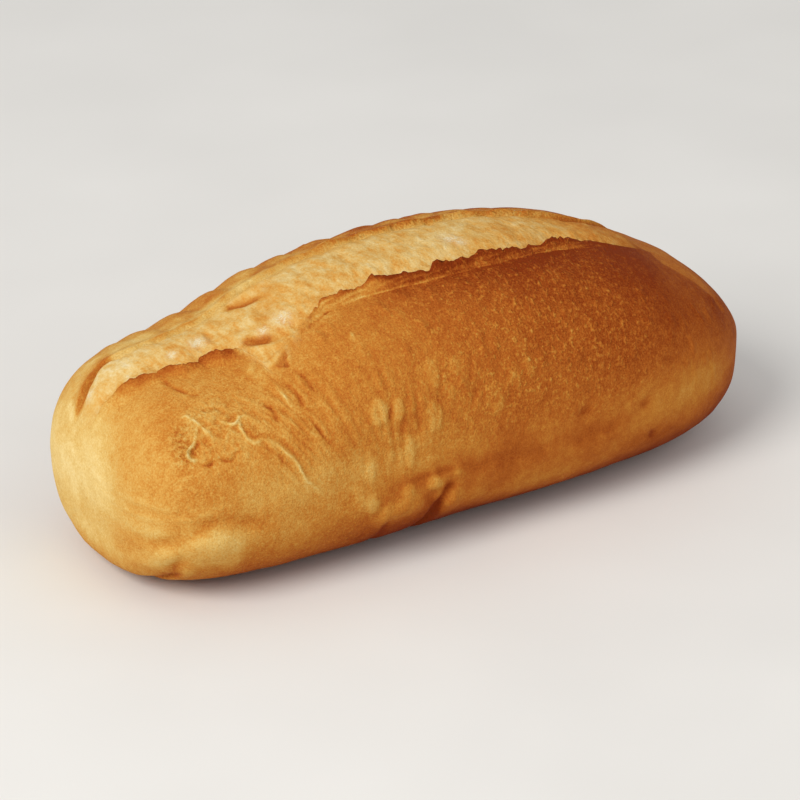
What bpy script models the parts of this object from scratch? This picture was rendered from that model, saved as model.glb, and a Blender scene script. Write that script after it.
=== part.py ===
"""A petit baguette: one loaf with a flat base, rounded ends and a single long cut along its crown.

The loaf lies along X, with its blunter end at -X and the crisp raised lip of the cut on the -Y side of
the crown.  Its skin is one closed surface of rings, spaced evenly along the outline.  Each ring is a
superellipse whose samples are shared out so that whole rows of vertices follow the lip of the cut, the foot
of that lip and the cut's back rim.  The lip, the torn crumb, the cracks and the seam folds are relief laid
on that skin.
"""

import bmesh
import bpy
import numpy as np
from mathutils import Vector, noise

MM = 0.001

# Overall sizes, in metres
LENGTH = 144.0 * MM
WIDTH = 68.0 * MM
CROWN_HEIGHT = 50.7 * MM
BASE_CUT = 1.7 * MM  # depth of the round underside that the baking tray flattens
WIDEST_SHARE = 0.39  # height of the widest girth, as a share of the height over the uncut underside
CREST_SHIFT = -1.0 * MM  # sideways lean of the crest
BOW = 1.5 * MM  # sideways bow of the middle of the loaf
NOSES = (0.7 * MM, 1.6 * MM)  # how far the -X end and the +X end stand out at their middle height
NOSE_HALF_HEIGHT = 9.0 * MM

# Outline exponents: 2 is an ellipse, and more is squarer
CROWN_POWER = 2.45
BELLY_POWER = 2.4
PLAN_POWER_ENDS = (4.3, 2.67)  # seen from above, at the -X end and at the +X end
CROWN_POWER_ENDS = (2.8, 1.9)  # seen from the side
BELLY_LIFT_POWER = 0.26  # under 1 keeps the underside low until close to the ends

# Swelling of the loaf, at seven places spread evenly from the -X end to the +X end
PLAN_SWELL = (1.006, 0.988, 0.981, 0.995, 0.998, 1.018, 1.011)
CROWN_SWELL = (0.995, 0.953, 0.999, 1.016, 1.014, 0.996, 1.001)

# The cut, seen from above, as (X, Y) in millimetres: its front lip and its back rim
LIP_LINE = (
    (-72, 2.6), (-69.6, 1.3), (-67.8, -0.6), (-65.7, -2.0), (-62.9, -2.4), (-60.5, -2.9), (-58, -3.6),
    (-56.5, -4.3), (-53.8, -6.8), (-50.8, -6.5), (-49.7, -6.3), (-48, -7.4), (-46, -8.6), (-44.5, -9.3),
    (-43.4, -9.5), (-42.6, -10.4), (-42.0, -13.2), (-41.5, -15.2), (-40.6, -15.5), (-37, -14.6),
    (-30, -11.8), (-25, -9.8), (-16, -10.2), (-4, -11.6), (14, -12.0), (36, -9.7), (44, -7.5), (57, -0.5),
    (72, 2.0),
)
RIM_LINE = (
    (-72, 6.5), (-70, 8.0), (-67, 9.8), (-63, 12.0), (-58, 10.2), (-50, 9.4), (-42, 9.4), (-30, 10.3),
    (-20, 10.5), (0, 10.0), (18, 9.4), (27, 7.4), (36, 4.8), (44, -0.5), (50, -2.0), (57, 1.5), (72, 3.5),
)
LOBES = (-71, -58.2, -50.8, -42.2)  # X where each rounded lobe of the -X end of the lip meets the next
LOBE_REACH = 1.3
LOBE_POWER = 0.6
FLAKES = (-26.5, -16.5, -2.0, 7.0, 21.0, 24.8, 38.0)  # X where each flake of the lip breaks off
FLAKE_STEP = 0.8
FLAKE_SLOPE = 0.2  # share of each flake that its torn, sloping start takes
JAG = 0.35

# (X, height) of the raised lip in millimetres
LIP_HEIGHT = (
    (-71, 0.0), (-65, 0.9), (-60, 1.0), (-58, 0.5), (-54, 1.0), (-50.5, 0.7), (-47, 1.3), (-43.5, 0.8),
    (-42.2, 0.3), (-38, 0.6), (-32, 0.5), (-27, 0.9), (-20, 1.4), (-12, 1.7), (0, 1.9), (12, 1.7),
    (17, 1.5), (21, 0.5), (24.3, 0.5), (25.6, 1.6), (31, 1.3), (35, 0.5), (50, 0.3), (60, 0.0),
)
LIP_WALL = 2.3 * MM  # width of the steep outer face of the lip
LIP_OVERHANG = 0.2  # as a share of the lip's height
RIM_HEIGHT = 0.75 * MM
RIM_FOOT = 3.5 * MM
CRUMB_DEPTH = 1.3 * MM  # of the crumb under the lip, below the skin
CRUMB_BULGE = 0.5 * MM
CRUMB_LUMP = 0.8 * MM
CRUMB_LUMP_SPACING = 5.5 * MM
CUT_ENDS = (-71.0 * MM, 52.0 * MM)
CUT_FADE = 4.0 * MM
# X, spread and depth of each sunken stretch of the crown, in millimetres; a depth under 0 is a swelling
CROWN_HOLLOWS = (
    (-43.5, 14.5, 1.9),
    (39.0, 8.0, -0.4),
    (54.0, 5.0, 0.4),
)

# Folds of the lower front, in millimetres
SEAMS = (  # half width and depth of each crease, and its line as (X, height)
    (1.4, 0.6, ((-26, 16.6), (-20, 18.2), (-15, 18.0), (-10, 18.8), (-4, 20.0))),
    (1.8, 0.35, ((-9, 18.2), (0, 17.6), (8, 17.2), (20, 17.4), (32, 18.2))),
    (1.3, 0.6, ((-71, 14.5), (-66.5, 16.9), (-62.5, 18.6), (-58, 18.8), (-54, 18.2), (-47, 16.6))),
)
SEAM_FADE = 5  # length over which a crease dies out at each end
CRACKS = (  # X at the foot, slope towards +X, top, half width and depth of each upright crack
    (-16.0, 0.37, 17.0, 1.1, 1.6),
    (-66.8, 0.06, 8.0, 1.1, 1.2),
)
LUMPS = (  # X, height, half length, half height and rise of each swelling
    (-60.5, 12.5, 5.5, 4.0, 1.1),
    (-68.5, 12.5, 2.6, 3.4, 0.8),
    (-18.5, 13.0, 2.6, 2.8, 0.6),
    (-24.5, 11.5, 3.0, 2.8, 0.5),
    (-9.5, 11.5, 2.8, 3.0, 0.7),
    (14.0, 9.5, 22.0, 3.5, 0.5),
)

UNEVENNESS = 0.4 * MM
UNEVEN_SPACING = 24.0 * MM

# Mesh
RINGS = 140
BACK_STEPS = 9
RIM_STEPS = 2
CUT_STEPS = 8
WALL_STEPS = 2
SIDE_STEPS = 7
FOLD_STEPS = 10
BASE_STEPS = 4
LEAST_CUT_SHARE = 0.16  # half of the angle across the cut near its ends, so that its rows never meet
LEAST_WALL_SHARE = 0.05
BASE_ANGLES = (-66.0, 246.0)  # degrees, where the back and the front of each ring meet the flat of the base
FOLD_ANGLE = 177.0  # degrees, where the close rows of the lower front begin
OUTLINE_SAMPLES = 4000

CRUST_COLOUR = (0.56, 0.27, 0.08, 1.0)
CRUST_ROUGHNESS = 0.6


def signed_power(value, exponent):
    return np.sign(value) * np.abs(value) ** exponent


def smooth_step(value):
    value = np.clip(value, 0, 1)
    return value * value * (3 - 2 * value)


def bell(value):
    return np.exp(-value * value)


def curve_through(values, share):
    """A smooth curve through values spread evenly over share from -1 to 1."""
    ends = (2 * values[0] - values[1], 2 * values[-1] - values[-2])
    points = np.array([ends[0], *values, ends[1]])
    place = (share + 1) / 2 * (len(values) - 1)
    first = np.clip(np.floor(place).astype(int), 0, len(values) - 2)
    t = place - first
    a, b, c, d = (points[first + k] for k in range(4))
    return b + 0.5 * t * (c - a + t * (2 * a - 5 * b + 4 * c - d + t * (3 * (b - c) + d - a)))


def line_at(line, x):
    """The second value of a line of (X, value) pairs in millimetres, at x, in metres."""
    places, values = np.array(line, float).T
    return np.interp(x / MM, places, values) * MM


def noise_field(points, spacing, seed, detail=1):
    """Smooth noise of about -1 to 1, one value for each point."""
    shifted = points.reshape(-1, 3) / spacing + seed * 17.3
    values = [noise.fractal(Vector(point), 1.0, 2.0, detail) for point in shifted]
    return np.array(values).reshape(points.shape[:-1])


def end_round(share, powers):
    """1 along the loaf, falling to 0 at share -1 and 1."""
    power = powers[0] + (powers[1] - powers[0]) * (share + 1) / 2
    return np.maximum(1 - np.abs(share) ** power, 0) ** (1 / power)


def half_width(share):
    return WIDTH / 2 * end_round(share, PLAN_POWER_ENDS) * curve_through(PLAN_SWELL, share)


def even_shares(count):
    """Places along the loaf, from -1 to 1 without the ends, spaced evenly along its plan outline."""
    turn = np.linspace(-np.pi / 2, np.pi / 2, OUTLINE_SAMPLES)
    share = np.unique(np.concatenate([signed_power(np.sin(turn), 0.5), np.sin(turn)]))
    steps = np.hypot(np.diff(share) * LENGTH / 2, np.diff(half_width(share)))
    run = np.concatenate([[0], np.cumsum(steps)])
    return np.interp(np.linspace(0, run[-1], count + 2)[1:-1], run, share)


def skin(share, angle):
    """Points of the plain skin: angle 0 is the +Y side, a quarter turn the crest, half a turn the front."""
    height = (CROWN_HEIGHT + BASE_CUT) * curve_through(CROWN_SWELL, share)
    middle = height * WIDEST_SHARE
    rounding = np.maximum(end_round(share, CROWN_POWER_ENDS), 1e-6)
    rise = (height - middle) * rounding
    drop = middle * rounding**BELLY_LIFT_POWER
    cosine, sine = np.cos(angle), np.sin(angle)
    upper = sine >= 0
    power = np.where(upper, CROWN_POWER, BELLY_POWER)
    y = half_width(share) * signed_power(cosine, 2 / power)
    z = middle + np.where(upper, rise, drop) * signed_power(sine, 2 / power)
    y = y + CREST_SHIFT * np.maximum(sine, 0) + BOW * (1 - share**2)
    nose = np.where(share < 0, *NOSES) * share**25 * bell((z - middle) / NOSE_HALF_HEIGHT)
    x = share * LENGTH / 2 + nose
    return np.stack([x, y, np.maximum(z - BASE_CUT, 0)], axis=-1)


def angle_of(share, y):
    """The crown angle at which the skin has this Y."""
    reach = (y - CREST_SHIFT - BOW * (1 - share**2)) / half_width(share)
    reach = np.clip(reach, -0.97, 0.97)
    return np.arccos(signed_power(reach, CROWN_POWER / 2))


def lip_y(x):
    """Y of the lip: its line, set back by lobes near the -X end and broken into flakes in the middle."""
    place = x / MM
    lobes = np.zeros_like(x)
    for start, end in zip(LOBES[:-1], LOBES[1:]):
        lobes += np.sin(np.pi * np.clip((place - start) / (end - start), 0, 1)) ** LOBE_POWER
    flakes = np.zeros_like(x)
    for start, end in zip(FLAKES[:-1], FLAKES[1:]):
        share = (place - start) / (end - start)
        falling = np.maximum(share - FLAKE_SLOPE, 0) / (1 - FLAKE_SLOPE)
        flakes += np.where((share >= 0) & (share < 1), smooth_step(share / FLAKE_SLOPE) - falling - 0.5, 0)
    return line_at(LIP_LINE, x) + (LOBE_REACH * lobes + FLAKE_STEP * flakes) * MM


def cut_angles(share):
    """Angles of the rim's foot, the back rim, the lip and the lip's foot at each place along the loaf."""
    x = share * LENGTH / 2
    points = np.stack([x, 0 * x, 0 * x], axis=-1)
    jag = JAG * MM * noise_field(points, 2.5 * MM, 3, detail=3)
    rim_y = line_at(RIM_LINE, x) - jag
    rim, lip = angle_of(share, rim_y), angle_of(share, lip_y(x) + jag)
    middle = (lip + rim) / 2
    rim = np.minimum(rim, middle - LEAST_CUT_SHARE)
    lip = np.maximum(lip, middle + LEAST_CUT_SHARE)
    rim_foot = np.minimum(angle_of(share, rim_y + RIM_FOOT), rim - LEAST_WALL_SHARE)
    lip_foot = np.maximum(angle_of(share, line_at(LIP_LINE, x) - LIP_WALL), lip + LEAST_WALL_SHARE)
    return rim_foot, rim, lip, lip_foot


def ring_angles(share):
    """Angles round each ring: up the back, across the cut, down the front, then back along the base."""
    level = np.ones_like(share)
    back, front = (np.radians(angle) * level for angle in BASE_ANGLES)
    rim_foot, rim, lip, lip_foot = cut_angles(share)
    fold = np.radians(FOLD_ANGLE) * level
    marks = (back, rim_foot, rim, lip, lip_foot, fold, front, back + 2 * np.pi)
    counts = (BACK_STEPS, RIM_STEPS, CUT_STEPS, WALL_STEPS, SIDE_STEPS, FOLD_STEPS, BASE_STEPS)
    stretches = []
    for start, end, steps in zip(marks[:-1], marks[1:], counts):
        stretches.append(start[:, None] + (end - start)[:, None] * np.arange(steps) / steps)
    return np.concatenate(stretches, axis=1)


def outward(points):
    """Unit normals of the grid of points, and unit tangents round each ring towards rising angle."""
    along = np.gradient(points, axis=0)
    around = np.roll(points, -1, axis=1) - np.roll(points, 1, axis=1)
    normal = np.cross(around, along)
    normal /= np.linalg.norm(normal, axis=-1, keepdims=True) + 1e-12
    around /= np.linalg.norm(around, axis=-1, keepdims=True) + 1e-12
    return normal, around


def cut_relief(points):
    """Height of the lip, the rim and the crumb over the skin, and how far the lip leans over the cut."""
    x = points[..., 0]
    start, end = CUT_ENDS
    fade = smooth_step((x - start) / CUT_FADE) * smooth_step((end - x) / CUT_FADE)
    rim_column = BACK_STEPS + RIM_STEPS
    lip_column = rim_column + CUT_STEPS
    foot_column = lip_column + WALL_STEPS
    columns = np.arange(points.shape[1])[None, :]
    lip_height = line_at(LIP_HEIGHT, x)

    up_wall = np.clip((foot_column - columns) / WALL_STEPS, 0, 1)
    lip = np.where(columns >= lip_column, lip_height * up_wall**1.3, 0)
    up_rim = smooth_step((columns - BACK_STEPS) / RIM_STEPS)
    scallop = 1 + 0.6 * noise_field(points * (1, 0, 0), 7.0 * MM, 4)
    rim = np.where(columns <= rim_column, RIM_HEIGHT * scallop * fade * up_rim, 0)

    across = np.clip((lip_column - columns) / CUT_STEPS, 0, 1)
    lumps = CRUMB_LUMP * noise_field(points, CRUMB_LUMP_SPACING, 1, detail=2)
    floor = -CRUMB_DEPTH * (1 - 0.6 * smooth_step(across * 2)) + CRUMB_BULGE * np.sin(np.pi * across) + lumps
    inside = (columns > rim_column) & (columns < lip_column)
    crumb = np.where(inside, floor * fade, 0)

    lean = np.where(columns == lip_column, LIP_OVERHANG * lip_height, 0)
    return lip + rim + crumb, lean


def seam_depth(x, z):
    """Depth of the creases that run along the lower front."""
    total = np.zeros_like(x)
    for half, depth, line in SEAMS:
        places, heights = np.array(line, float).T
        fade = smooth_step((x - places[0]) / SEAM_FADE) * smooth_step((places[-1] - x) / SEAM_FADE)
        total += depth * fade * bell((z - np.interp(x, places, heights)) / half)
    return total


def fold_relief(points):
    """Height of the swellings, less the depth of the creases and cracks, of the lower front."""
    x, y, z = np.moveaxis(points / MM, -1, 0)
    relief = -seam_depth(x, z)
    for foot, slope, top, half, depth in CRACKS:
        span = smooth_step((top - z) / 4) * smooth_step(z / 1.5)
        relief -= depth * span * bell((x - foot - slope * z) / half)
    for place, height, half_length, half_height, rise in LUMPS:
        relief += rise * bell((x - place) / half_length) * bell((z - height) / half_height)
    return relief * smooth_step(-y / 4) * MM


def crown_hollow(points):
    """Depth of the sunken stretches of the crown."""
    x, z = points[..., 0] / MM, points[..., 2] / MM
    depth = sum(depth * bell((x - place) / spread) for place, spread, depth in CROWN_HOLLOWS)
    return depth * smooth_step((z - 28) / 14) * MM


def loaf_rings():
    share = even_shares(RINGS)
    points = skin(share[:, None], ring_angles(share))
    normal, around = outward(points)
    raised, lean = cut_relief(points)
    uneven = UNEVENNESS * noise_field(points, UNEVEN_SPACING, 2) * smooth_step(points[..., 2] / (6 * MM))
    height = raised + fold_relief(points) - crown_hollow(points) + uneven
    moved = points + normal * height[..., None] - around * lean[..., None]
    moved[..., 2] = np.where(points[..., 2] <= 0, 0, np.maximum(moved[..., 2], 0))
    return moved


def end_point(side):
    return skin(np.array([[side * (1 - 1e-9)]]), np.array([[0.0]]))[0, 0]


def closed_mesh(rings, ends):
    """A closed mesh of the rings, with a fan of triangles to a point at each end."""
    count, around = rings.shape[:2]
    mesh = bmesh.new()
    grid = [[mesh.verts.new(point) for point in ring] for ring in rings]
    tips = [mesh.verts.new(point) for point in ends]
    for i in range(count - 1):
        for j in range(around):
            k = (j + 1) % around
            mesh.faces.new((grid[i][j], grid[i][k], grid[i + 1][k], grid[i + 1][j]))
    for j in range(around):
        k = (j + 1) % around
        mesh.faces.new((tips[0], grid[0][k], grid[0][j]))
        mesh.faces.new((tips[1], grid[-1][j], grid[-1][k]))
    bmesh.ops.recalc_face_normals(mesh, faces=mesh.faces)
    return mesh


def crust_material():
    material = bpy.data.materials.new("baked_crust")
    material.use_nodes = True
    shader = material.node_tree.nodes["Principled BSDF"]
    shader.inputs["Base Color"].default_value = CRUST_COLOUR
    shader.inputs["Roughness"].default_value = CRUST_ROUGHNESS
    shader.inputs["Metallic"].default_value = 0.0
    return material


def make_loaf():
    rings = loaf_rings()
    ends = np.array([end_point(-1), end_point(1)])
    everything = np.concatenate([rings.reshape(-1, 3), ends])
    centre = (everything.min(axis=0) + everything.max(axis=0)) / 2
    centre[2] = 0
    mesh = closed_mesh(rings - centre, ends - centre)
    data = bpy.data.meshes.new("loaf")
    mesh.to_mesh(data)
    mesh.free()
    data.shade_smooth()
    data.materials.append(crust_material())
    loaf = bpy.data.objects.new("loaf", data)
    bpy.context.scene.collection.objects.link(loaf)


def main():
    for old in list(bpy.data.objects):
        bpy.data.objects.remove(old)
    make_loaf()


main()
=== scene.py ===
"""The looks of a petit baguette: its crust, the torn crumb of its cut, the floor, the lights and the camera.

The loaf is one closed mesh of rings, as its solid is, with finer relief.  A place on it is given by x, along
the loaf, and by down, the distance round the skin from the crest, both in millimetres.  The distance is more
than 0 on the -Y side and less than 0 on the back.
"""

import math

import bpy
import numpy as np
from mathutils import Euler, Matrix, Vector, noise

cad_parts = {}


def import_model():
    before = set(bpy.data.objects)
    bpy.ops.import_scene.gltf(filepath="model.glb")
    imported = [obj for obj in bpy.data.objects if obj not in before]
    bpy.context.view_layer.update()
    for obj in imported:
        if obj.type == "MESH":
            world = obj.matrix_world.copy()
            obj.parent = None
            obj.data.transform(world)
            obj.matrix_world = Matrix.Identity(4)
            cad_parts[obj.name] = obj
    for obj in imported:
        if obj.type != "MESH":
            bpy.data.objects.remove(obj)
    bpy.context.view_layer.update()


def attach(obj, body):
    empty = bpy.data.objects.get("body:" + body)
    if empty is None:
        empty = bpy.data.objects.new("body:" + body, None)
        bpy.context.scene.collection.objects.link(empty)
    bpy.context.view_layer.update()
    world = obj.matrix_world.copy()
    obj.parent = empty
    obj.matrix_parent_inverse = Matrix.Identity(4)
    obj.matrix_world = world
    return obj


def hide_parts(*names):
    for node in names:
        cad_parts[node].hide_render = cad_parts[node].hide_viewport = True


MM = 0.001

# Sizes of the loaf, in millimetres, as its solid has them
LENGTH = 144.0
WIDTH = 68.0
CROWN_HEIGHT = 50.7
BASE_CUT = 1.7
WIDEST_SHARE = 0.39
CREST_SHIFT = -1.0
BOW = 1.5
NOSES = (0.7, 1.6)
NOSE_HALF_HEIGHT = 9.0
OUTLINE_CENTRE = (0.47, 1.36)
CROWN_POWER = 2.45
BELLY_POWER = 2.4
PLAN_POWER_ENDS = (4.3, 2.67)
CROWN_POWER_ENDS = (2.8, 1.9)
BELLY_LIFT_POWER = 0.26
PLAN_SWELL = (1.006, 0.988, 0.981, 0.995, 0.998, 1.018, 1.011)
CROWN_SWELL = (0.995, 0.953, 0.999, 1.016, 1.014, 0.996, 1.001)

# The cut, seen from above, as (X, Y): its front lip and its back rim, a little finer than in the solid
LIP_LINE = (
    (-72, 2.6), (-69.6, 1.3), (-67.8, -0.6), (-65.7, -2.0), (-62.9, -2.4), (-60.5, -2.9), (-58, -3.6),
    (-56.5, -4.3), (-53.8, -6.8), (-51.5, -6.7), (-50.2, -6.0), (-48, -7.2), (-46, -8.5), (-44.5, -9.2),
    (-43.4, -9.2), (-42.3, -9.9), (-41.7, -12.8), (-41.2, -15.2), (-40.4, -15.5), (-37, -14.6),
    (-30, -11.8), (-25, -9.8), (-16, -10.2), (-4, -11.6), (14, -12.0), (36, -9.7), (44, -7.5), (57, -0.5),
    (72, 2.0),
)
RIM_LINE = (
    (-72, 6.5), (-70, 8.0), (-67, 9.8), (-63, 12.0), (-58, 10.2), (-50, 9.4), (-42, 9.4), (-30, 10.3),
    (-20, 10.5), (0, 10.0), (18, 9.4), (27, 7.4), (36, 4.8), (44, -0.5), (50, -2.0), (57, 1.5), (72, 3.5),
)
LOBES = (-71, -58.2, -50.8, -41.8)
LOBE_REACH = 1.3
LOBE_POWER = 0.6
FLAKES = (-26.5, -16.5, -2.0, 7.0, 21.0, 24.8, 38.0)
FLAKE_STEP = 0.8
FLAKE_SLOPE = 0.2  # share of each flake that its torn, sloping start takes
JAG = 0.32
COARSE_JAG = 0.28
RIM_WANDER = 0.8
LIP_HEIGHT = (
    (-71, 0.0), (-65, 0.9), (-60, 1.0), (-58, 0.5), (-54, 1.0), (-50.5, 0.7), (-47, 1.3), (-43.5, 0.8),
    (-42.2, 0.3), (-38, 0.6), (-32, 0.5), (-27, 0.9), (-20, 1.4), (-12, 1.7), (0, 1.9), (12, 1.7),
    (17, 1.5), (21, 0.5), (24.3, 0.5), (25.6, 1.6), (31, 1.3), (35, 0.5), (50, 0.3), (60, 0.0),
)
LIP_WALL = 2.3
FOOT_WANDER = 0.25
LIP_OVERHANG = 0.1
LIP_RAGGED = 0.28
RIM_HEIGHT = 0.75
RIM_FOOT = 3.5
CRUMB_DEPTH = ((-71, 0.3), (-60, 0.6), (-46, 0.9), (-40, 0.5), (-30, 0.7), (-20, 1.1), (30, 1.0), (45, 0.4))
CRUMB_BACK_DEPTH = 0.5
CRUMB_BULGE = 0.5
# Waves of the crown's back edge: where each starts along X, their rise by X, and the Y of their middle by X
SCALLOPS = (-60, -54, -48.4, -39.9, -32.4, -23.5, -16.6, -7.0, 3.6, 10.0, 17.0, 24.0, 30.0, 36.0)
SCALLOP_RISE = ((-54, 0.3), (-47, 1.0), (-32, 1.0), (-22, 0.6), (-8, 0.8), (5, 0.7), (18, 0.4), (36, 0.3))
SCALLOP_PLACE = ((-45, 20.0), (-15, 18.0), (15, 16.0), (35, 10.5))
SCALLOP_SPREAD = 6.5
SCALLOP_FADES = (5.0, 8.0)
CUT_ENDS = (-71.0, 52.0)
CUT_FADE = 4.0
CROWN_HOLLOWS = ((-43.5, 14.5, 1.9), (39.0, 8.0, -0.4), (54.0, 5.0, 0.4))  # X, spread and depth

# Folds of the lower front, by their heights over the base, finer than in the solid
SEAMS = (  # half width and depth of each crease, and its line as (x, height)
    (0.9, 0.32, ((-26, 16.6), (-20, 18.2), (-15, 18.0), (-10, 18.8), (-4, 20.0))),
    (1.8, 0.20, ((-9, 18.2), (0, 17.6), (8, 17.2), (20, 17.4), (32, 18.2))),
    (
        1.6, 0.30,
        ((-72, 13.4), (-69.4, 14.8), (-65, 16.6), (-62.5, 18.5), (-60.5, 19.3), (-58, 19.4), (-47, 17.0)),
    ),
)
SEAM_FADE = 5
CRACKS = (  # upright cracks: x at the foot, slope towards +X, height of the top, half width and depth
    (-16.2, 0.37, 17.0, 1.15, 1.1), (-66.8, 0.06, 15.0, 1.3, 0.45), (-66.8, 0.2, 8.5, 0.6, 1.2),
    (-24.6, 0.1, 14.0, 0.9, 0.3),
)
LUMPS = (  # low swellings: x, height over the base, half length, half height and rise
    (-61.0, 14.4, 5.2, 3.6, 1.1), (-67.8, 12.4, 2.0, 2.2, 0.8), (-69.8, 17.4, 2.2, 1.5, 0.35),
    (-18.5, 13.0, 2.4, 2.6, 0.7), (-24.5, 11.5, 2.8, 2.6, 0.55), (-9.5, 11.5, 2.6, 3.0, 0.8),
    (-13.4, 16.2, 1.8, 1.2, 0.6), (-8.6, 17.4, 1.0, 0.7, 0.5), (-29.0, 16.5, 1.8, 1.8, 0.35),
    (-4.0, 11.0, 2.4, 3.0, 0.3), (-12.2, 13.2, 1.2, 1.5, 0.5), (-19.5, 15.0, 1.0, 1.0, 0.4),
    (-17.2, 13.0, 1.1, 1.0, 0.35), (-21.5, 12.0, 1.1, 1.4, 0.35), (-63.2, 16.0, 2.6, 1.0, 0.35),
    (-70.6, 20.0, 2.0, 0.8, 0.2), (-70.2, 22.8, 2.4, 0.8, 0.15), (-66.0, 20.6, 2.2, 0.7, 0.2),
    (-62.0, 21.6, 1.6, 0.7, 0.2), (-64.5, 8.5, 1.6, 2.0, 0.35), (-56.5, 10.0, 2.0, 2.4, 0.3),
    (-70.0, 9.5, 1.4, 1.6, 0.3), (14.0, 9.5, 22.0, 3.5, 0.5),
)

# Fine relief of the front, as (x, down) lines with a half width and a rise; a negative rise is a crease
LINES = {
    "long_pleat": (0.26, 0.3, ((-48.6, 27.6), (-45.4, 34.3), (-43.3, 37.4), (-41.3, 42.4), (-38.8, 46.5))),
    "long_pleat_shade": (0.34, -0.16, ((-49.3, 28.6), (-46.3, 35.2), (-44.2, 38.3), (-42.2, 43.2))),
    "peeled_edge": (0.28, 0.5, ((-58.8, 20.6), (-60.7, 22.5), (-62.4, 24.0), (-62.2, 25.5), (-59.4, 28.2))),
    "peeled_foot": (0.3, -0.45, ((-61.6, 26.6), (-59.4, 28.6), (-55.4, 30.1), (-53.5, 29.5))),
    "peeled_top": (0.28, 0.4, ((-62.0, 16.8), (-59.8, 17.2), (-58.6, 20.1), (-57.8, 22.5), (-56.9, 24.8))),
    "peeled_inside": (0.3, -0.2, ((-57.9, 21.0), (-59.9, 22.9), (-61.2, 24.3), (-60.9, 25.6))),
    "curl_left": (0.28, 0.45, ((-55.0, 21.7), (-54.2, 23.3), (-52.4, 24.6), (-51.1, 23.5), (-49.7, 23.9))),
    "curl_right": (0.26, 0.38, ((-51.2, 23.8), (-51.7, 25.5), (-51.4, 28.6), (-49.9, 30.1), (-48.4, 30.2))),
    "curl_shade": (0.35, -0.2, ((-50.4, 24.6), (-50.8, 27.6), (-49.6, 29.2), (-48.0, 29.3))),
    "lobe_crease": (0.35, -0.25, ((-58.0, 4.6), (-58.2, 7.5), (-57.6, 10.3), (-55.9, 13.0), (-54.2, 14.0))),
    "wedge_ridge": (0.7, 0.4, ((-36.5, 14.7), (-40.0, 16.4), (-44.0, 17.0))),
    "lobe_foot": (0.8, 0.18, ((-42.6, 13.6), (-43.6, 14.6), (-45.0, 15.4))),
    "shoulder_ridge": (0.4, 0.35, ((-35.3, 15.2), (-36.8, 17.6), (-37.6, 20.4))),
    "pleat_a": (0.4, -0.35, ((-45.1, 23.8), (-44.2, 26.5), (-44.3, 28.6))),
    "pleat_b": (0.35, -0.3, ((-39.5, 20.7), (-39.2, 23.9), (-38.6, 27.3), (-37.2, 31.9))),
    "pleat_c": (0.35, -0.3, ((-38.3, 31.4), (-36.5, 35.9), (-35.6, 37.9))),
    "pleat_d": (0.5, -0.2, ((-19.0, 38.3), (-19.9, 42.5))),
    "pleat_e": (0.4, -0.3, ((-21.7, 36.1), (-22.2, 39.3))),
    "pleat_f": (0.35, -0.26, ((-36.6, 20.8), (-35.6, 24.5), (-35.3, 28.0))),
    "pleat_g": (0.32, 0.3, ((-41.8, 21.5), (-41.3, 25.0), (-40.4, 29.0))),
    "scratch": (0.3, 0.3, ((-23.6, 19.6), (-23.9, 21.3))),
    "far_crease_a": (0.9, -0.3, ((33.3, 50.4), (37.3, 46.7))),
    "far_crease_b": (0.8, -0.25, ((37.2, 56.9), (39.0, 54.7))),
    "far_crease_c": (0.7, -0.2, ((18.5, 50.1), (22.4, 48.1))),
}
CRUMB_LINES = {  # ridges and hollows of the crumb: half width, rise, browning with painted shade (darker in hollows, paler on ridges), and an (x, y) line
    "near_ridge": (1.1, 0.7, -0.1, ((-39.5, 8.4), (-33.6, 7.5), (-30.0, 6.9), (-26.5, 6.9))),
    "near_hollow": (1.3, -1.0, 1.0, ((-36.7, 6.2), (-34.4, 5.0), (-32.5, 3.8))),
    "near_valley": (2.8, -0.4, 0.35, ((-29.5, 5.5), (-31.5, 0.5), (-34.5, -3.5))),
    "notch_hollow": (1.35, -1.1, 1.3, ((-40.6, -7.6), (-39.0, -8.7), (-37.6, -9.6))),
    "notch_ridge": (0.8, 0.5, -0.1, ((-41.0, -9.9), (-38.8, -11.4), (-37.1, -12.5), (-34.0, -12.9))),
    "pit": (0.6, -0.4, 0.45, ((-40.1, -3.1), (-39.4, -3.1))),
    "near_crease": (0.5, -0.5, 0.35, ((-44.6, 2.4), (-45.2, -1.4))),
    "near_bulge": (2.4, 0.4, 0.0, ((-56.0, 3.0), (-50.0, 4.0), (-44.0, 4.5))),
    "corner_hollow": (1.2, -0.6, 0.8, ((-69.2, 8.2), (-67.4, 9.3), (-64.3, 11.8), (-61.0, 12.2))),
    "rim_shade": (1.6, -0.3, 0.6, ((-42.0, 17.6), (-39.0, 16.8), (-35.0, 15.3))),
}
FLOURY = (  # whitish places of the crumb, as (x, y, radius)
    (-47.4, 0.3, 1.6), (-53.0, 0.3, 0.9), (-32.6, -7.1, 1.7), (-36.9, -7.1, 1.0), (-67.9, 6.4, 1.0),
    (8.6, -2.6, 1.8), (9.7, -4.8, 1.2),
)
BROWN_PATCHES = (  # browner places of the crust: x, down, half length, half width and browning
    (-44.8, 26.0, 0.6, 2.0, 0.10), (-57.5, 24.5, 2.6, 2.8, 0.07), (-53.0, 22.9, 1.2, 0.8, 0.14),
    (-50.0, 27.4, 1.1, 1.4, 0.10), (-53.3, 29.0, 0.5, 1.6, 0.12), (-55.9, 29.4, 0.8, 0.5, 0.12),
    (-63.6, 22.4, 1.2, 2.6, 0.12), (-41.6, 21.0, 0.8, 2.6, 0.08), (-36.6, 24.5, 0.8, 3.4, 0.08),
    (-52.0, 35.0, 4.5, 2.2, 0.05), (-61.0, 38.6, 5.0, 1.3, 0.05), (-68.6, 34.5, 1.6, 1.2, 0.05),
)
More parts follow.
